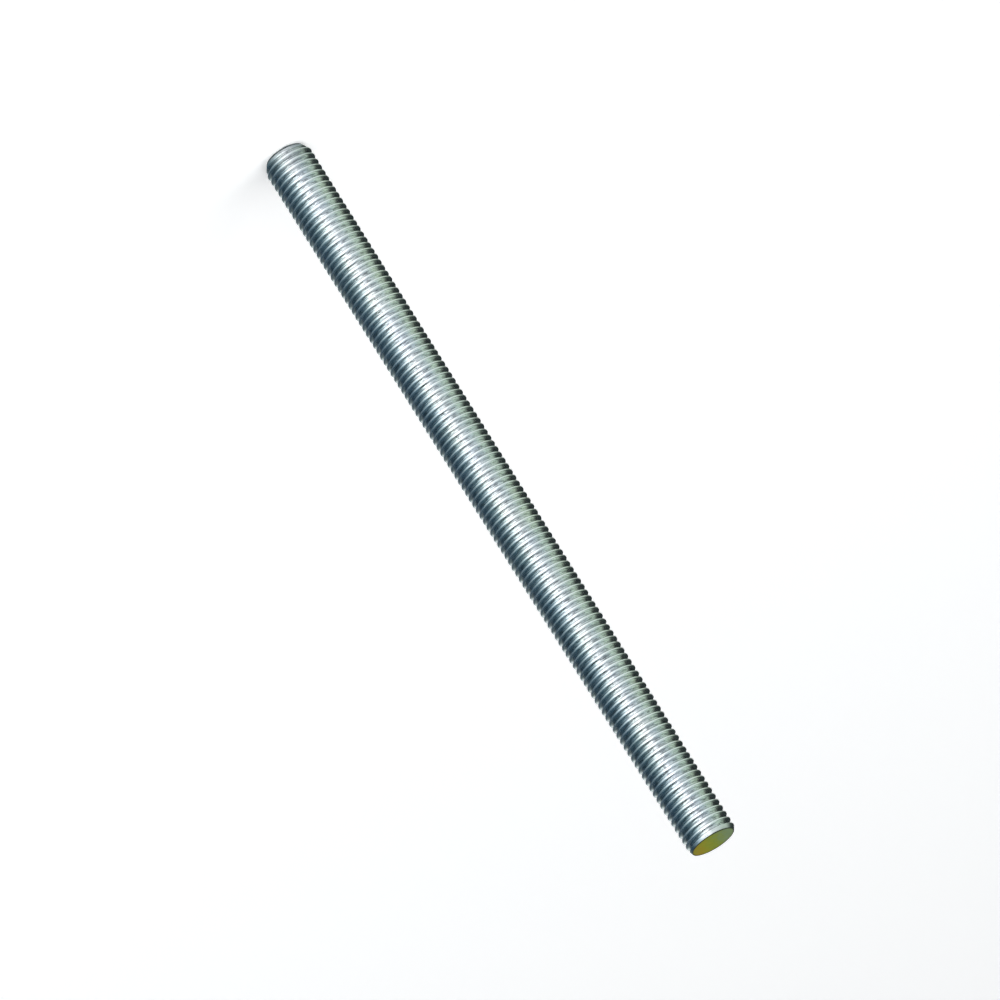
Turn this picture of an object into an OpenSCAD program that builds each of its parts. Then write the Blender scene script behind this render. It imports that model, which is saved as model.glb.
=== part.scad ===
// Threaded rod: one steel bar with a rolled thread from end to end.
// It stands on its foot. The origin is the middle of the foot's flat face,
// and +Z runs up the axis to the end that carries the paint mark.

/* [Rod] */
// Overall length, from the foot's face to the painted face
rod_length = 304.8; // [80:0.1:360]
// Major diameter, over the crests of the thread
major_d = 18.7; // [14:0.05:26]

/* [Thread] */
// Pitch, from one crest to the next
pitch = 2.54; // [2.2:0.01:4]
// Angle between the two flanks of the groove
thread_angle = 60; // [50:1:90]
// Width of the flat along the crest
crest_flat = 0.46; // [0.2:0.01:0.8]
// Direction in which the middle of the crest leaves the foot's face
thread_start = 45; // [0:5:360]

/* [Ends] */
// How far the chamfer takes in the radius at the foot
foot_chamfer = 2.05; // [0.3:0.05:2.5]
// How far the chamfer takes in the radius at the painted end
top_chamfer = 0.85; // [0.3:0.05:2.5]
// Angle between either chamfer and the axis
chamfer_angle = 30; // [20:1:60]
// Height of the plain land between either face and the end of the groove
end_land = 0.6; // [0.2:0.05:3]

/* [Paint] */
// Thickness of the paint on the top face
paint_t = 0.1; // [0.05:0.01:0.5]
// Width of the bare rim around the paint
paint_rim = 0.2; // [0.1:0.05:1]

/* [Hidden] */

round_fn = 96;
major_r = major_d / 2;
flank_run = (pitch - crest_flat) / 2;
thread_depth = flank_run / tan(thread_angle / 2);
root_r = major_r - thread_depth;

steel_length = rod_length - paint_t;
top_r = major_r - top_chamfer;
foot_r = major_r - foot_chamfer;
chamfer_slope = 1 / tan(chamfer_angle);

// The screw surface is cut into flat facets. They are shared out evenly, so
// a longer rod or a finer pitch keeps to about the same number of triangles.
triangle_budget = 11800;
triangles_a_step = 6;
most_steps = 48;
turns = ceil(rod_length / pitch) + 2;
steps_a_turn = min(most_steps, floor(triangle_budget / triangles_a_step / turns));
steps = turns * steps_a_turn;

// How far the coat of paint reaches into the steel.
paint_grip = paint_t / 2;

// The bar before threading stands this far clear of the crests, so that only
// its faces and chamfers cut the screw.
bar_clear = 0.2;
bar_r = major_r + bar_clear;

// Radius and height of the section's corners, in order up the rod: the two
// edges of the crest, then the bottom of the groove.
section = [[major_r, -crest_flat / 2], [major_r, crest_flat / 2], [root_r, pitch / 2]];

// A corner of the section, carried i steps along a right-hand screw line.
function on_helix(corner, i) =
    let (angle = 360 * i / steps_a_turn, rise = pitch * i / steps_a_turn)
    [corner[0] * cos(angle), corner[0] * sin(angle), corner[1] + rise];

// Two triangles between neighbouring points a, a + 1 on one screw line and
// b, b + 1 on the line above it.
function strip(a, b) = [[a, b, b + 1], [a, b + 1, a + 1]];

// The bare screw, a turn longer than the rod at each end. Its points run
// line by line: the whole helix of one corner, then that of the next.
module screw() {
    line = steps + 1;
    lower_edge = 0;
    upper_edge = line;
    groove = 2 * line;
    low_end = 3 * line;
    high_end = low_end + 1;
    last = steps - steps_a_turn;
    points = [
        for (corner = section, i = [0 : steps]) on_helix(corner, i),
        [0, 0, -pitch],
        [0, 0, (turns + 1) * pitch]
    ];
    crest = [for (i = [0 : steps - 1]) each strip(lower_edge + i, upper_edge + i)];
    lower_flank = [for (i = [0 : steps - 1]) each strip(upper_edge + i, groove + i)];
    // The groove's upper flank climbs to the crest one turn further on.
    upper_flank = [for (i = [0 : last - 1]) each strip(groove + i, lower_edge + i + steps_a_turn)];
    // Around the first turn, then up its section to where it began.
    low_rim = [for (i = [0 : steps_a_turn]) lower_edge + i, groove, upper_edge, lower_edge];
    // Around the last turn, then down its section to where it began.
    high_rim = [for (i = [last : steps]) groove + i, upper_edge + steps, lower_edge + steps, groove + last];
    low_cap = [for (j = [0 : len(low_rim) - 2]) [low_rim[j], low_rim[j + 1], low_end]];
    high_cap = [for (j = [0 : len(high_rim) - 2]) [high_rim[j + 1], high_rim[j], high_end]];
    translate([0, 0, -pitch]) rotate([0, 0, thread_start])
        polyhedron(points, concat(crest, lower_flank, upper_flank, low_cap, high_cap));
}

// A plain disc on the plane z = 0, which ends the groove just short of a face.
module land() {
    groove_end = (bar_r - root_r) * tan(thread_angle / 2);
    rotate_extrude($fn = round_fn) polygon([
        [0, 0],
        [bar_r, 0],
        [bar_r, end_land],
        [root_r, end_land + groove_end],
        [0, end_land + groove_end]
    ]);
}

// The bar before threading: two flat faces, each with its chamfer.
module bar() {
    rotate_extrude($fn = round_fn) polygon([
        [0, 0],
        [foot_r, 0],
        [bar_r, (bar_r - foot_r) * chamfer_slope],
        [bar_r, steel_length - (bar_r - top_r) * chamfer_slope],
        [top_r, steel_length],
        [0, steel_length]
    ]);
}

// The coat brushed on the top face, which marks the grade of the steel. It
// reaches a little into the steel, so that coat and bar are one solid.
module paint_mark() {
    translate([0, 0, steel_length - paint_grip])
        cylinder(h = paint_t + paint_grip, r = top_r - paint_rim, $fn = round_fn);
}

module threaded_rod() {
    color("silver") intersection() {
        union() {
            screw();
            land();
            translate([0, 0, steel_length]) mirror([0, 0, 1]) land();
        }
        bar();
    }
    color("olive") paint_mark();
}

threaded_rod();
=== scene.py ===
import math

import bmesh
import bpy
import numpy as np
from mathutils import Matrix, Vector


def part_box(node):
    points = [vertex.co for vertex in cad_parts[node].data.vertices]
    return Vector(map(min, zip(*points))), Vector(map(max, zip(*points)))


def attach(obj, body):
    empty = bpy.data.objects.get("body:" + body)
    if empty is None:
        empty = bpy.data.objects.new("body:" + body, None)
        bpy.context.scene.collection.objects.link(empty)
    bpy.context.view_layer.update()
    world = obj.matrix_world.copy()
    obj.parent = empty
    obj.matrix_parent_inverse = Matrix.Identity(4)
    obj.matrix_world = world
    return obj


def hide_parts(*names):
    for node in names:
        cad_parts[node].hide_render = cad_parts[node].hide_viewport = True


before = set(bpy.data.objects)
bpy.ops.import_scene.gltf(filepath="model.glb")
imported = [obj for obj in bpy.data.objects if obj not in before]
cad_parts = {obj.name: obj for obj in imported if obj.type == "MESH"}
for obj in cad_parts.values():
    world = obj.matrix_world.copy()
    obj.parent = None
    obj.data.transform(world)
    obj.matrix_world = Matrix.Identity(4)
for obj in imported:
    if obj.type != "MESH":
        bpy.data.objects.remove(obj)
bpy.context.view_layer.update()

# The rod. The real one is a single bar of mild steel, taken as 3/4 inch. Its thread is rolled
# between dies from end to end, the bar is sawn off and each end takes a light chamfer, and it
# is then plated with bright zinc. The mesh has the solid's screw, with the rounded root too.
MM = 0.001
rod_low, rod_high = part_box("threaded_rod")
ROD_LENGTH = rod_high[2] - rod_low[2]
CREST_RADIUS = 9.35 * MM
PITCH = 2.54 * MM
CREST_FLAT = 0.46 * MM
CREST_EDGE_RADIUS = 0.11 * MM
ROOT_RADIUS = 0.2 * MM
HALF_THREAD_ANGLE = math.radians(30)
FLANK_SLOPE = 1 / math.tan(HALF_THREAD_ANGLE)
THREAD_START = math.radians(45)
CREST_WEAR = 0.012 * MM
WORN_DEPTH = 0.4 * MM
FOOT_CHAMFER = 2.05 * MM
TOP_CHAMFER = 0.85 * MM
CHAMFER_ANGLE = math.radians(30)
CHAMFER_SLOPE = math.tan(CHAMFER_ANGLE)
END_LAND = 0.6 * MM
PAINT_THICKNESS = 0.1 * MM
STEEL_TOP = ROD_LENGTH - PAINT_THICKNESS
COLUMNS = 48
FACE_RINGS = 10
SPARE_TURNS = 3
TURNS_BELOW_FOOT = 2
JOIN_WITHIN = 0.002 * MM
SHARP_BEND = math.radians(50)


def thread_section(h):
    """Radius at height h above the middle of a crest, for any h.

    The distance to the nearest crest gives a flat, then a straight flank that falls at 60
    degrees to the axis. The groove's bottom is an arc that touches both flanks, with its
    centre two radii from their sharp corner. The corner between crest and flank is rounded by
    a smooth minimum.
    """
    away = np.abs((h + PITCH / 2) % PITCH - PITCH / 2)
    flank = CREST_RADIUS - (away - CREST_FLAT / 2) * FLANK_SLOPE
    sharp_root = CREST_RADIUS - (PITCH / 2 - CREST_FLAT / 2) * FLANK_SLOPE
    arc_centre = sharp_root + 2 * ROOT_RADIUS
    across = np.minimum(PITCH / 2 - away, ROOT_RADIUS)
    arc = arc_centre - np.sqrt(ROOT_RADIUS ** 2 - across ** 2)
    touches = PITCH / 2 - away < ROOT_RADIUS * math.cos(HALF_THREAD_ANGLE)
    groove = np.where(touches, arc, flank)
    soft = CREST_EDGE_RADIUS
    gap = np.clip(0.5 + 0.5 * (groove - CREST_RADIUS) / soft, 0, 1)
    rounded = groove * (1 - gap) + CREST_RADIUS * gap - soft * gap * (1 - gap) * 0.5
    return np.minimum(rounded, CREST_RADIUS)


def screw_mesh(name):
    """The screw's surface on a grid of helix lines by columns, with both faces closed.

    Row by row the lines climb through the section, and along a line the angle turns once per
    COLUMNS steps while the height climbs one pitch. The radius is the section's, less a little
    wear on the crests by the product of two slow waves, filled out to the bar near each face
    where the groove stops, and cut down to the chamfer's cone. Heights past a face are held at
    the face, so the lines there gather on its rim.
    """
    crest = np.linspace(-0.30, 0.30, 6) * MM
    flank = np.array([0.5, 0.8]) * MM
    root = PITCH / 2 + np.linspace(-0.173, 0.173, 5) * MM
    section = np.concatenate([crest, flank, root, PITCH - flank[::-1]])
    turns = math.ceil(ROD_LENGTH / PITCH) + SPARE_TURNS
    height = (np.arange(turns)[:, None] * PITCH + section[None, :]).ravel()
    height = height - TURNS_BELOW_FOOT * PITCH
    step = np.arange(COLUMNS)
    angle = 2 * math.pi * step / COLUMNS
    rows = len(height)
    z = height[:, None] + PITCH * step[None, :] / COLUMNS
    radius = np.repeat(thread_section(height)[:, None], COLUMNS, axis=1)
    along = z / PITCH
    wear = np.sin(along * 2.1 + 3 * angle) * np.sin(along * 0.83 - 2 * angle + 1.3)
    radius = radius - CREST_WEAR * (1 + wear) * (radius > CREST_RADIUS - WORN_DEPTH)
    radius = land_and_chamfer(radius, z)
    z = np.clip(z, 0, STEEL_TOP)
    turn = angle + THREAD_START
    points = np.stack([radius * np.cos(turn), radius * np.sin(turn), z], axis=-1).reshape(-1, 3)

    row = np.arange(rows - 1)[:, None]
    here = row * COLUMNS + step[None, :]
    lap = len(section) * COLUMNS
    beside = np.where(step == COLUMNS - 1, here - (COLUMNS - 1) + lap, here + 1)
    quads = np.stack([here, beside, beside + COLUMNS, here + COLUMNS], axis=-1).reshape(-1, 4)
    quads = quads[quads.max(axis=1) < rows * COLUMNS]
    foot, foot_faces = face_disc(CREST_RADIUS - FOOT_CHAMFER, 0.0, turn, len(points), False)
    points = np.concatenate([points, foot])
    top, top_faces = face_disc(CREST_RADIUS - TOP_CHAMFER, STEEL_TOP, turn, len(points), True)
    points = np.concatenate([points, top])
    return welded(name, points, [quads, *foot_faces, *top_faces])


def land_and_chamfer(radius, z):
    """Fills the groove to the bar's surface on the land at each end, then cuts both cones.

    Past the land the filling falls away into the groove at the flank's own slope.
    """
    from_face = np.minimum(z, STEEL_TOP - z)
    filled = CREST_RADIUS - np.maximum(from_face - END_LAND, 0) * FLANK_SLOPE
    foot_cone = CREST_RADIUS - FOOT_CHAMFER + np.maximum(z, 0) * CHAMFER_SLOPE
    top_cone = CREST_RADIUS - TOP_CHAMFER + np.maximum(STEEL_TOP - z, 0) * CHAMFER_SLOPE
    return np.minimum(np.maximum(radius, filled), np.minimum(foot_cone, top_cone))


def face_disc(rim, z, turn, first, up):
    """A flat disc as rings of points that shrink evenly from the rim to a pole at the axis."""
    share = 1 - np.arange(FACE_RINGS)[:, None] / FACE_RINGS
    x = rim * share * np.cos(turn)
    y = rim * share * np.sin(turn)
    points = np.stack([x, y, np.full_like(x, z)], axis=-1).reshape(-1, 3)
    points = np.concatenate([points, [[0.0, 0.0, z]]])
    step = np.arange(COLUMNS)
    beside = (step + 1) % COLUMNS
    ring = np.arange(FACE_RINGS - 1)[:, None] * COLUMNS
    outer = ring + step
    next_outer = ring + beside
    quads = np.stack([outer, next_outer, next_outer + COLUMNS, outer + COLUMNS], axis=-1)
    quads = quads.reshape(-1, 4) + first
    last = (FACE_RINGS - 1) * COLUMNS
    pole = np.full(COLUMNS, len(points) - 1)
    tips = np.stack([last + step, last + beside, pole], axis=-1) + first
    faces = [quads, tips] if up else [quads[:, ::-1], tips[:, ::-1]]
    return points, faces


def welded(name, points, groups):
    """Puts points and faces in a mesh, joins points that coincide and drops flat leftovers."""
    faces = [face for group in groups for face in group.tolist()]
    mesh = bpy.data.meshes.new(name)
    mesh.from_pydata(points.tolist(), [], faces)
    work = bmesh.new()
    work.from_mesh(mesh)
    bmesh.ops.remove_doubles(work, verts=work.verts, dist=JOIN_WITHIN)
    bmesh.ops.dissolve_degenerate(work, edges=work.edges, dist=JOIN_WITHIN)
    work.to_mesh(mesh)
    work.free()
    mesh.polygons.foreach_set("use_smooth", np.ones(len(mesh.polygons), dtype=bool))
    mesh.set_sharp_from_angle(angle=SHARP_BEND)
    piece = bpy.data.objects.new(name, mesh)
    bpy.context.collection.objects.link(piece)
    return piece


def node(tree, kind, where=(0, 0), **settings):
    """Adds a shader node, with its settings and the default values of its inputs."""
    made = tree.nodes.new(kind)
    made.location = where
    inputs = settings.pop("inputs", {})
    for key, value in settings.items():
        setattr(made, key, value)
    for key, value in inputs.items():
        made.inputs[key].default_value = value
    return made


def axis_mask():
    """A node group that masks the rod by the distance from its axis, from 0 inside to 1 outside.

    The position times Stretch, which takes its height away, has a length, and a smoothstep
    of that length runs from Inner to Outer.
    """
    group = bpy.data.node_groups.new("axis_mask", "ShaderNodeTree")
    group.interface.new_socket("Position", in_out="INPUT", socket_type="NodeSocketVector")
    group.interface.new_socket("Stretch", in_out="INPUT", socket_type="NodeSocketVector")
    group.interface.new_socket("Inner", in_out="INPUT", socket_type="NodeSocketFloat")
    group.interface.new_socket("Outer", in_out="INPUT", socket_type="NodeSocketFloat")
    group.interface.new_socket("Mask", in_out="OUTPUT", socket_type="NodeSocketFloat")
    given = node(group, "NodeGroupInput", (-600, 0))
    flat = node(group, "ShaderNodeVectorMath", (-400, 0), operation="MULTIPLY")
    out = node(group, "ShaderNodeVectorMath", (-200, 0), operation="LENGTH")
    mask = node(group, "ShaderNodeMapRange", (0, 0), interpolation_type="SMOOTHSTEP")
    result = node(group, "NodeGroupOutput", (200, 0))
    group.links.new(given.outputs["Position"], flat.inputs[0])
    group.links.new(given.outputs["Stretch"], flat.inputs[1])
    group.links.new(flat.outputs[0], out.inputs[0])
    group.links.new(out.outputs["Value"], mask.inputs["Value"])
    group.links.new(given.outputs["Inner"], mask.inputs["From Min"])
    group.links.new(given.outputs["Outer"], mask.inputs["From Max"])
    group.links.new(mask.outputs["Result"], result.inputs["Mask"])
    return group


def zinc_plating(by_axis):
    """Bright zinc on rolled steel: cool grey with faint blue and green casts.

    Fine scratches run round the rod, which are noise squeezed along the axis, and darker dashes
    of noise lie mostly in the grooves. The base colour is darkened by a tenth towards the groove
    bottoms, which is painted shade. The crests are rubbed duller but clean, by the distance from
    the axis.
    """
    made = bpy.data.materials.new("zinc_plated_steel")
    made.use_nodes = True
    tree = made.node_tree
    link = tree.links.new
    shader = tree.nodes["Principled BSDF"]
    shader.inputs["Metallic"].default_value = 1.0
    place = node(tree, "ShaderNodeTexCoord", (-1500, 0))

    depth = node(tree, "ShaderNodeGroup", (-940, 300), node_tree=by_axis)
    depth.inputs["Stretch"].default_value = (1, 1, 0)
    depth.inputs["Inner"].default_value = 8.0 * MM
    depth.inputs["Outer"].default_value = 9.3 * MM
    link(place.outputs["Object"], depth.inputs["Position"])

    cloud = node(tree, "ShaderNodeTexNoise", (-1120, 0), inputs={"Scale": 95.0, "Detail": 3.0})
    link(place.outputs["Object"], cloud.inputs["Vector"])
    cast = node(tree, "ShaderNodeValToRGB", (-940, 0))
    cast.color_ramp.elements[0].position = 0.35
    cast.color_ramp.elements[0].color = (0.80, 0.82, 0.84, 1)
    cast.color_ramp.elements[1].position = 0.66
    cast.color_ramp.elements[1].color = (0.84, 0.85, 0.83, 1)
    link(cloud.outputs["Fac"], cast.inputs["Fac"])
    tone = node(tree, "ShaderNodeMix", (-560, 120), data_type="RGBA", blend_type="MULTIPLY")
    tone.inputs["Factor"].default_value = 1.0
    # Painted shade: the base colour darkens to 0.9 of itself towards the groove bottoms.
    painted_groove_shade = node(tree, "ShaderNodeValToRGB", (-760, 300))
    painted_groove_shade.color_ramp.elements[0].color = (0.90, 0.90, 0.90, 1)
    painted_groove_shade.color_ramp.elements[1].color = (1.0, 1.0, 1.0, 1)
    link(depth.outputs["Mask"], painted_groove_shade.inputs["Fac"])
    link(cast.outputs["Color"], tone.inputs["A"])
    link(painted_groove_shade.outputs["Color"], tone.inputs["B"])

    dash = node(tree, "ShaderNodeMapping", (-1300, -700))
    dash.inputs["Scale"].default_value = (260, 260, 3600)
    pits = node(tree, "ShaderNodeTexNoise", (-1120, -700), inputs={"Scale": 1.0, "Detail": 3.0})
    pits.inputs["Roughness"].default_value = 0.65
    link(place.outputs["Object"], dash.inputs["Vector"])
    link(dash.outputs["Vector"], pits.inputs["Vector"])
    specks = node(tree, "ShaderNodeValToRGB", (-940, -700))
    specks.color_ramp.elements[0].position = 0.40
    specks.color_ramp.elements[0].color = (0.50, 0.52, 0.53, 1)
    specks.color_ramp.elements[1].position = 0.50
    specks.color_ramp.elements[1].color = (1.0, 1.0, 1.0, 1)
    link(pits.outputs["Fac"], specks.inputs["Fac"])
    # The dashes, weighted towards the groove bottoms, and the painted groove shade both darken the
    # base colour.
    shade_and_dashes = node(tree, "ShaderNodeMix", (-300, 120), data_type="RGBA", blend_type="MULTIPLY")
    groove_weight = node(tree, "ShaderNodeMapRange", (-500, -700))
    groove_weight.inputs["To Min"].default_value = 1.0
    groove_weight.inputs["To Max"].default_value = 0.15
    link(depth.outputs["Mask"], groove_weight.inputs["Value"])
    link(groove_weight.outputs["Result"], shade_and_dashes.inputs["Factor"])
    link(tone.outputs["Result"], shade_and_dashes.inputs["A"])
    link(specks.outputs["Color"], shade_and_dashes.inputs["B"])
    link(shade_and_dashes.outputs["Result"], shader.inputs["Base Color"])

    squeeze = node(tree, "ShaderNodeMapping", (-1300, -300))
    squeeze.inputs["Scale"].default_value = (500, 500, 3600)
    streaks = node(tree, "ShaderNodeTexNoise", (-1120, -300), inputs={"Scale": 1.0, "Detail": 4.0})
    link(place.outputs["Object"], squeeze.inputs["Vector"])
    link(squeeze.outputs["Vector"], streaks.inputs["Vector"])
    gloss = node(tree, "ShaderNodeMapRange", (-760, -200))
    gloss.inputs["From Min"].default_value = 0.3
    gloss.inputs["From Max"].default_value = 0.7
    gloss.inputs["To Min"].default_value = 0.08
    gloss.inputs["To Max"].default_value = 0.18
    link(streaks.outputs["Fac"], gloss.inputs["Value"])
    rubbed = node(tree, "ShaderNodeGroup", (-760, -450), node_tree=by_axis)
    rubbed.inputs["Stretch"].default_value = (1, 1, 0)
    rubbed.inputs["Inner"].default_value = 9.22 * MM
    rubbed.inputs["Outer"].default_value = 9.32 * MM
    link(place.outputs["Object"], rubbed.inputs["Position"])
    rough = node(tree, "ShaderNodeMath", (-400, -200), operation="MULTIPLY_ADD")
    rough.inputs[1].default_value = 0.2
    link(rubbed.outputs["Mask"], rough.inputs[0])
    link(gloss.outputs["Result"], rough.inputs[2])
    link(rough.outputs["Value"], shader.inputs["Roughness"])
    bump = node(tree, "ShaderNodeBump", (-560, -400))
    bump.inputs["Strength"].default_value = 0.14
    bump.inputs["Distance"].default_value = 0.03 * MM
    link(streaks.outputs["Fac"], bump.inputs["Height"])
    link(bump.outputs["Normal"], shader.inputs["Normal"])
    return made


mask_by_axis = axis_mask()
rod = screw_mesh("rod_thread")
rod.data.materials.append(zinc_plating(mask_by_axis))
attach(rod, "root")
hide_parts("threaded_rod")

# The grade mark. A coat of yellow-green paint is dabbed on the rod's top face after plating.
# It pools to a rounded edge just inside the chamfer, is thick and brownish on one side, and so
# thin on the other that the zinc greys it.
PAINT_RIM = 0.2 * MM
PAINT_RADIUS = CREST_RADIUS - TOP_CHAMFER - PAINT_RIM
PAINT_ROUNDING = 0.15 * MM
PAINT_WANDER = 0.12 * MM
PAINT_SIDES = 96


def paint_film(name):
    """A low domed disc: a profile of radius and height turned about the axis.

    The profile runs from a pole on top to the edge, round it on a quarter ellipse and back
    below to a pole on the steel. The edge wanders in and out by a sum of sines.
    """
    top = np.linspace(0, 1, 14)[1:] ** 0.8 * (PAINT_RADIUS - PAINT_ROUNDING)
    swell = np.linspace(0, math.pi / 2, 7)[1:]
    brim = PAINT_RADIUS - PAINT_ROUNDING * (1 - np.sin(swell))
    radius = np.concatenate([top, brim, top[::-1]])
    lift = np.concatenate([np.ones(len(top)), np.cos(swell), np.zeros(len(top))])
    turn = 2 * math.pi * np.arange(PAINT_SIDES) / PAINT_SIDES
    edge = 0.5 * np.sin(3 * turn + 0.6) + 0.3 * np.sin(7 * turn + 2.0) + 0.2 * np.sin(13 * turn)
    share = (radius / PAINT_RADIUS) ** 6
    reach = radius[:, None] + PAINT_WANDER * share[:, None] * (edge[None, :] - 0.5)
    x = reach * np.cos(turn)
    y = reach * np.sin(turn)
    wave = 0.5 + 0.3 * np.sin(x * 700 + 1) * np.sin(y * 600) + 0.2 * np.sin(x * 1500 - y * 1100)
    z = STEEL_TOP + lift[:, None] * PAINT_THICKNESS * (1 - 0.25 * wave)
    z = np.where(lift[:, None] == 1, np.minimum(z, ROD_LENGTH), z)
    points = np.stack([x, y, z], axis=-1).reshape(-1, 3)
    rows = len(radius)
    step = np.arange(PAINT_SIDES)
    beside = (step + 1) % PAINT_SIDES
    ring = np.arange(rows - 1)[:, None] * PAINT_SIDES
    inner = ring + step
    next_inner = ring + beside
    quads = np.stack([inner, inner + PAINT_SIDES, next_inner + PAINT_SIDES, next_inner], axis=-1)
    crown = len(points)
    points = np.concatenate([points, [[0, 0, z[0].mean()], [0, 0, STEEL_TOP]]])
    crown_tips = np.stack([np.full(PAINT_SIDES, crown), step, beside], axis=-1)
    base = (rows - 1) * PAINT_SIDES
    base_tips = np.stack([np.full(PAINT_SIDES, crown + 1), base + beside, base + step], axis=-1)
    return welded(name, points, [quads.reshape(-1, 4), crown_tips, base_tips])


def marking_paint(by_axis):
    """Thin enamel: a brown to yellow to grey-green run across the face, broken up by noise.

    A near-black band inside the edge, widest at front and back, is painted shade that outlines the
    face.
    """
    made = bpy.data.materials.new("marking_paint")
    made.use_nodes = True
    tree = made.node_tree
    link = tree.links.new
    shader = tree.nodes["Principled BSDF"]
    shader.inputs["Specular IOR Level"].default_value = 0.25
    place = node(tree, "ShaderNodeTexCoord", (-1300, 0))
    apart = node(tree, "ShaderNodeSeparateXYZ", (-1100, 200))
    link(place.outputs["Object"], apart.inputs["Vector"])
    across = node(tree, "ShaderNodeMapRange", (-920, 200))
    across.inputs["From Min"].default_value = 8.5 * MM
    across.inputs["From Max"].default_value = -8.5 * MM
    across.inputs["To Min"].default_value = -0.29
    across.inputs["To Max"].default_value = 0.71
    link(apart.outputs["X"], across.inputs["Value"])
    blotch = node(tree, "ShaderNodeTexNoise", (-1100, -100), inputs={"Scale": 620.0, "Detail": 4.0})
    blotch.inputs["Roughness"].default_value = 0.6
    link(place.outputs["Object"], blotch.inputs["Vector"])
    mixed = node(tree, "ShaderNodeMath", (-740, 100), operation="MULTIPLY_ADD")
    mixed.inputs[1].default_value = 1.0
    link(blotch.outputs["Fac"], mixed.inputs[0])
    link(across.outputs["Result"], mixed.inputs[2])
    run = node(tree, "ShaderNodeValToRGB", (-560, 100))
    ramp = run.color_ramp
    ramp.elements[0].position = 0.20
    ramp.elements[0].color = (0.21, 0.22, 0.012, 1)
    ramp.elements[1].position = 1.0
    ramp.elements[1].color = (0.18, 0.25, 0.12, 1)
    ramp.elements.new(0.38).color = (0.30, 0.21, 0.004, 1)
    ramp.elements.new(0.50).color = (0.24, 0.25, 0.006, 1)
    ramp.elements.new(0.76).color = (0.20, 0.25, 0.025, 1)
    link(mixed.outputs["Value"], run.inputs["Fac"])
    # Painted shade: a near-black band just inside the paint's edge, widest at front and back.
    painted_edge_shade = node(tree, "ShaderNodeGroup", (-740, 500), node_tree=by_axis)
    painted_edge_shade.inputs["Stretch"].default_value = (0.92, 1, 0)
    painted_edge_shade.inputs["Inner"].default_value = PAINT_RADIUS - 1.2 * MM
    painted_edge_shade.inputs["Outer"].default_value = PAINT_RADIUS - 0.5 * MM
    edge_shaded = node(tree, "ShaderNodeMix", (-300, 200), data_type="RGBA")
    edge_shaded.inputs["B"].default_value = (0.02, 0.025, 0.008, 1)
    link(place.outputs["Object"], painted_edge_shade.inputs["Position"])
    link(painted_edge_shade.outputs["Mask"], edge_shaded.inputs["Factor"])
    link(run.outputs["Color"], edge_shaded.inputs["A"])
    link(edge_shaded.outputs["Result"], shader.inputs["Base Color"])
    dull = node(tree, "ShaderNodeMapRange", (-560, -150))
    dull.inputs["To Min"].default_value = 0.38
    dull.inputs["To Max"].default_value = 0.6
    link(blotch.outputs["Fac"], dull.inputs["Value"])
    link(dull.outputs["Result"], shader.inputs["Roughness"])
    bump = node(tree, "ShaderNodeBump", (-300, -300))
    bump.inputs["Strength"].default_value = 0.3
    bump.inputs["Distance"].default_value = 0.05 * MM
    link(blotch.outputs["Fac"], bump.inputs["Height"])
    link(bump.outputs["Normal"], shader.inputs["Normal"])
    return made


paint = paint_film("end_paint")
paint.data.materials.append(marking_paint(mask_by_axis))
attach(paint, "root")

# The floor. A plain white sheet that the rod stands on. It shows white to the camera and in
# the metal, and keeps the rod's shadow.
FLOOR_SIZE = 30.0
floor_mesh = bpy.data.meshes.new("floor")
half = FLOOR_SIZE / 2
floor_corners = [(-half, -half, 0), (half, -half, 0), (half, half, 0), (-half, half, 0)]
floor_mesh.from_pydata(floor_corners, [], [(0, 1, 2, 3)])
floor = bpy.data.objects.new("floor", floor_mesh)
bpy.context.collection.objects.link(floor)
floor_material = bpy.data.materials.new("floor_white")
floor_material.use_nodes = True
tree = floor_material.node_tree
shader = tree.nodes["Principled BSDF"]
shader.inputs["Base Color"].default_value = (0.82, 0.82, 0.82, 1)
shader.inputs["Roughness"].default_value = 0.9
shader.inputs["Specular IOR Level"].default_value = 0.1
shader.inputs["Emission Color"].default_value = (1, 1, 1, 1)
light_path = node(tree, "ShaderNodeLightPath", (-700, -300))
seen = node(tree, "ShaderNodeMath", (-500, -300), operation="MAXIMUM")
tree.links.new(light_path.outputs["Is Camera Ray"], seen.inputs[0])
tree.links.new(light_path.outputs["Is Glossy Ray"], seen.inputs[1])
through = node(tree, "ShaderNodeMath", (-300, -300), operation="MAXIMUM")
tree.links.new(seen.outputs["Value"], through.inputs[0])
tree.links.new(light_path.outputs["Is Transmission Ray"], through.inputs[1])
lift = node(tree, "ShaderNodeMath", (-120, -300), operation="MULTIPLY")
lift.inputs[1].default_value = 0.42
tree.links.new(through.outputs["Value"], lift.inputs[0])
tree.links.new(lift.outputs["Value"], shader.inputs["Emission Strength"])
floor.data.materials.append(floor_material)

# The light. Four softboxes: a wide one in front, about as high as the camera, one overhead, a
# weak one behind the rod and one on the right. They light the floor and the paint.
LAMP_AIM = 0.15


def softbox(name, centre, size, radiance, colour=(1, 1, 1)):
    """An area lamp that faces the rod, with its power worked out from the radiance it shows."""
    lamp = bpy.data.lights.new(name, "AREA")
    lamp.shape = "RECTANGLE"
    lamp.size, lamp.size_y = size
    lamp.energy = radiance * math.pi * size[0] * size[1]
    lamp.color = colour
    made = bpy.data.objects.new(name, lamp)
    made.visible_camera = False
    bpy.context.collection.objects.link(made)
    back = np.array(centre, dtype=float)
    away = back / np.linalg.norm(back)
    across = np.cross([0, 1, 0], away)
    across /= np.linalg.norm(across)
    up = np.cross(away, across)
    hung = back + [0, 0, LAMP_AIM]
    made.matrix_world = [[*across, 0], [*up, 0], [*away, 0], [*hung, 1]]
    return made


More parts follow.
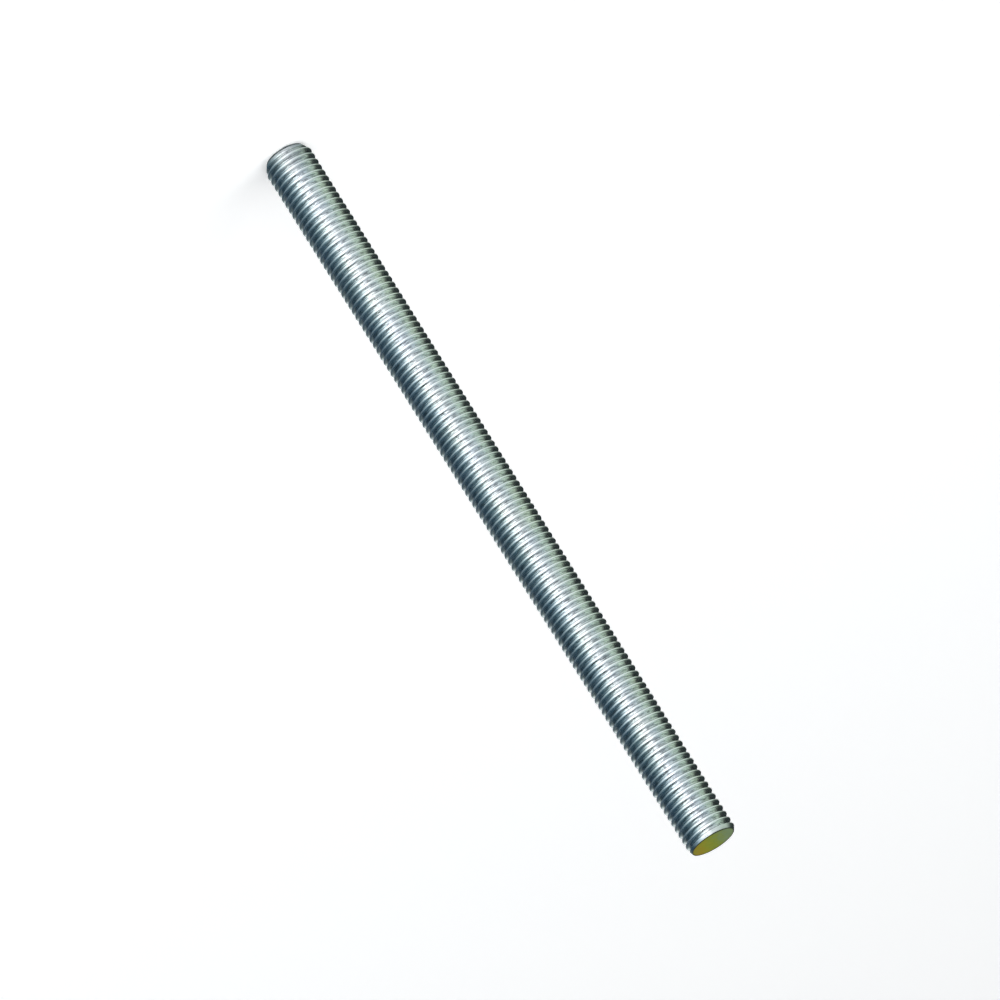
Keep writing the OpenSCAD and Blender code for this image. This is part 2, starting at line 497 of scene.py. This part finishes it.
softbox("key", (0.16, -4.1, 2.0), (3.2, 1.4), 5.0)
softbox("overhead", (-0.9, -0.9, 4.0), (2.4, 2.4), 5.0)
softbox("back_panel", (0.0, 2.4, 4.0), (4.0, 2.5), 0.8)
softbox("right_panel", (3.0, -0.6, 2.8), (1.8, 1.8), 2.5)

# The room. It is dim and bluish above, with a low white backdrop all round that meets the
# floor's edge.
world = bpy.data.worlds.new("studio")
bpy.context.scene.world = world
world.use_nodes = True
tree = world.node_tree
background = tree.nodes["Background"]
direction = node(tree, "ShaderNodeTexCoord", (-1000, 0))
parts = node(tree, "ShaderNodeSeparateXYZ", (-800, 0))
tree.links.new(direction.outputs["Generated"], parts.inputs["Vector"])
backdrop = node(tree, "ShaderNodeMapRange", (-600, 0), interpolation_type="SMOOTHSTEP")
backdrop.inputs["From Min"].default_value = 0.16
backdrop.inputs["From Max"].default_value = 0.10
tree.links.new(parts.outputs["Z"], backdrop.inputs["Value"])
room = node(tree, "ShaderNodeMix", (-200, 0), data_type="RGBA")
room.inputs["A"].default_value = (0.045, 0.06, 0.07, 1)
room.inputs["B"].default_value = (1, 1, 1, 1)
tree.links.new(backdrop.outputs["Result"], room.inputs["Factor"])
tree.links.new(room.outputs["Result"], background.inputs["Color"])

# The tent. A cloth tube with a gap behind stands close round the rod, with slats inside, a hem and
# a dark ring on the floor. It shows only in reflections, so its glow is painted reflection on the
# metal, in bright and dark bands, and the dark ring under the foot is painted shade in the foot's
# chamfer. The slats fall outwards along the line that a crest sees, so the crests see past them,
# the grooves their tops and the edges their undersides.
TENT_SIDES = 24
TENT_RADIUS = 0.034
TENT_HEIGHT = 0.4
FLOOR_GAP = 0.0005
SLAT_INNER = 0.020
SLAT_OUTER = 0.030
SLAT_GAP = 4.5 * MM
SLAT_FALL = 0.344
SLAT_TOP = 0.330
UNDERSIDE_SINK = 0.0001
HEM_HEIGHT = 0.0003
RING_INNER = 0.0005
RING_OUTER = 0.0080


def tent_cloth(name, brightness, stops):
    """A black cloth that glows by its direction round the rod, as a run of radiances.

    The direction is in degrees from the front towards +X, with its seam behind the rod.
    """
    made = bpy.data.materials.new(name)
    made.use_nodes = True
    tree = made.node_tree
    cloth = tree.nodes["Principled BSDF"]
    cloth.inputs["Base Color"].default_value = (0, 0, 0, 1)
    cloth.inputs["Roughness"].default_value = 1.0
    cloth.inputs["Specular IOR Level"].default_value = 0.0
    cloth.inputs["Emission Strength"].default_value = brightness
    place = node(tree, "ShaderNodeTexCoord", (-900, 0))
    face_front = node(tree, "ShaderNodeMapping", (-700, 0))
    face_front.inputs["Rotation"].default_value = (0, 0, math.pi / 2)
    around = node(tree, "ShaderNodeTexGradient", (-500, 0), gradient_type="RADIAL")
    glow = node(tree, "ShaderNodeValToRGB", (-300, 0))
    for direction, radiance in stops:
        colour = [part / brightness for part in radiance]
        glow.color_ramp.elements.new(direction / 360 + 0.5).color = (*colour, 1)
    glow.color_ramp.elements.remove(glow.color_ramp.elements[-1])
    glow.color_ramp.elements.remove(glow.color_ramp.elements[0])
    tree.links.new(place.outputs["Object"], face_front.inputs["Vector"])
    tree.links.new(face_front.outputs["Vector"], around.inputs["Vector"])
    tree.links.new(around.outputs["Fac"], glow.inputs["Fac"])
    tree.links.new(glow.outputs["Color"], cloth.inputs["Emission Color"])
    return made


def drape(name, start, stop, bands, cloth):
    """Bands of quads along an arc round the rod, each from one radius and height to another.

    A rim is the arc times its radius, at its height, and quads join the two rims of a band.
    """
    swing = np.linspace(math.radians(start), math.radians(stop), TENT_SIDES + 1)
    radius, height = np.array(bands, dtype=float).reshape(-1, 2).T
    x = radius[:, None] * np.sin(swing)
    y = radius[:, None] * -np.cos(swing)
    z = np.repeat(height[:, None], TENT_SIDES + 1, axis=1)
    corners = np.stack([x, y, z], axis=-1).reshape(-1, 3)
    low = np.arange(len(bands))[:, None] * 2 * (TENT_SIDES + 1) + np.arange(TENT_SIDES)
    high = low + TENT_SIDES + 1
    panes = np.stack([low, low + 1, high + 1, high], axis=-1).reshape(-1, 4)
    mesh = bpy.data.meshes.new(name)
    mesh.from_pydata(corners.tolist(), [], panes.tolist())
    mesh.materials.append(cloth)
    made = bpy.data.objects.new(name, mesh)
    bpy.context.collection.objects.link(made)
    made.visible_camera = False
    made.visible_diffuse = False
    made.visible_shadow = False


def upright():
    """One band at the tent's radius, from just above the floor to the tent's top."""
    return [((TENT_RADIUS, FLOOR_GAP), (TENT_RADIUS, TENT_HEIGHT))]


def slats(sink):
    """Bands that fall outwards at the slope of the crests' own view, one above another."""
    fall = (SLAT_OUTER - SLAT_INNER) * SLAT_FALL
    heights = np.arange(fall + FLOOR_GAP, SLAT_TOP, SLAT_GAP) - sink
    return [((SLAT_INNER, h), (SLAT_OUTER, h - fall)) for h in heights]


def lying(inner, outer):
    """One level ring just above the floor."""
    return [((inner, HEM_HEIGHT), (outer, HEM_HEIGHT))]


drape("tent_wall", -180, 150, upright(), tent_cloth("tent_wall", 4.0, [
    (-180, (0.03, 0.04, 0.04)),
    (-116, (0.03, 0.04, 0.04)),
    (-108, (0.18, 0.23, 0.19)),
    (-95, (0.60, 0.77, 0.62)),
    (-72, (0.88, 1.12, 0.94)),
    (-48, (0.92, 1.10, 1.14)),
    (-22, (1.15, 1.25, 1.34)),
    (-8, (2.60, 2.65, 2.75)),
    (16, (2.60, 2.80, 2.80)),
    (32, (0.70, 0.95, 1.00)),
    (48, (0.18, 0.32, 0.38)),
    (72, (0.04, 0.10, 0.15)),
    (112, (0.04, 0.07, 0.10)),
    (138, (0.13, 0.17, 0.18)),
    (147, (0.80, 0.90, 0.90)),
    (150, (0.80, 0.90, 0.90)),
]))
drape("slat_tops", -125, 88, slats(0.0), tent_cloth("slat_tops", 1.0, [
    (-125, (0.02, 0.03, 0.02)),
    (-109, (0.03, 0.04, 0.03)),
    (-84, (0.38, 0.50, 0.40)),
    (-70, (0.46, 0.60, 0.49)),
    (-40, (0.50, 0.62, 0.66)),
    (-8, (0.58, 0.64, 0.72)),
    (3, (0.28, 0.34, 0.38)),
    (10, (0.04, 0.08, 0.10)),
    (64, (0.02, 0.06, 0.09)),
    (88, (0.02, 0.05, 0.08)),
]))
drape("slat_undersides", -125, 88, slats(UNDERSIDE_SINK), tent_cloth("slat_undersides", 3.0, [
    (-125, (0.04, 0.05, 0.05)),
    (-112, (0.06, 0.08, 0.07)),
    (-98, (0.22, 0.27, 0.23)),
    (-82, (0.46, 0.56, 0.48)),
    (-60, (0.55, 0.66, 0.60)),
    (-20, (0.80, 0.88, 0.92)),
    (-4, (1.40, 1.46, 1.52)),
    (24, (1.40, 1.56, 1.62)),
    (40, (0.62, 0.80, 0.88)),
    (60, (0.20, 0.30, 0.36)),
    (88, (0.03, 0.06, 0.08)),
]))
# Painted shade: a dark ring that the foot's chamfer reflects.
drape("foot_shade", -180, 180, lying(RING_INNER, RING_OUTER), tent_cloth("foot_shade", 1.0, [
    (-170, (0.12, 0.15, 0.16)),
    (170, (0.12, 0.15, 0.16)),
]))
drape("tent_hem", -180, 180, lying(RING_OUTER, TENT_RADIUS), tent_cloth("tent_hem", 1.0, [
    (-170, (0.06, 0.08, 0.08)),
    (-98, (0.30, 0.38, 0.32)),
    (-48, (0.42, 0.50, 0.52)),
    (-8, (0.80, 0.84, 0.88)),
    (20, (0.70, 0.80, 0.84)),
    (50, (0.16, 0.24, 0.28)),
    (80, (0.05, 0.09, 0.12)),
    (170, (0.06, 0.08, 0.08)),
]))

# The camera. A long lens, low in front of the rod and a little above its painted end, turned
# on its own axis so that the rod lies across the picture from upper left to lower right.
CAMERA_BACK = 3.435
CAMERA_HEIGHT = 1.388
AIM = (-0.00009, 0.0, 0.15525)
ROLL = math.radians(148.0)
LENS = 370.9
camera_data = bpy.data.cameras.new("camera")
camera_data.lens = LENS
camera_data.sensor_width = 36.0
camera_data.clip_end = 100.0
camera = bpy.data.objects.new("camera", camera_data)
bpy.context.collection.objects.link(camera)
eye = np.array([0.0, -CAMERA_BACK, CAMERA_HEIGHT])
back = eye - AIM
back /= np.linalg.norm(back)
right = np.cross([0, 0, 1], back)
right /= np.linalg.norm(right)
up = np.cross(back, right)
turned_right = math.cos(ROLL) * right + math.sin(ROLL) * up
turned_up = math.cos(ROLL) * up - math.sin(ROLL) * right
camera.matrix_world = [[*turned_right, 0], [*turned_up, 0], [*back, 0], [*eye, 1]]
bpy.context.scene.camera = camera
bpy.context.scene.view_settings.view_transform = "Standard"
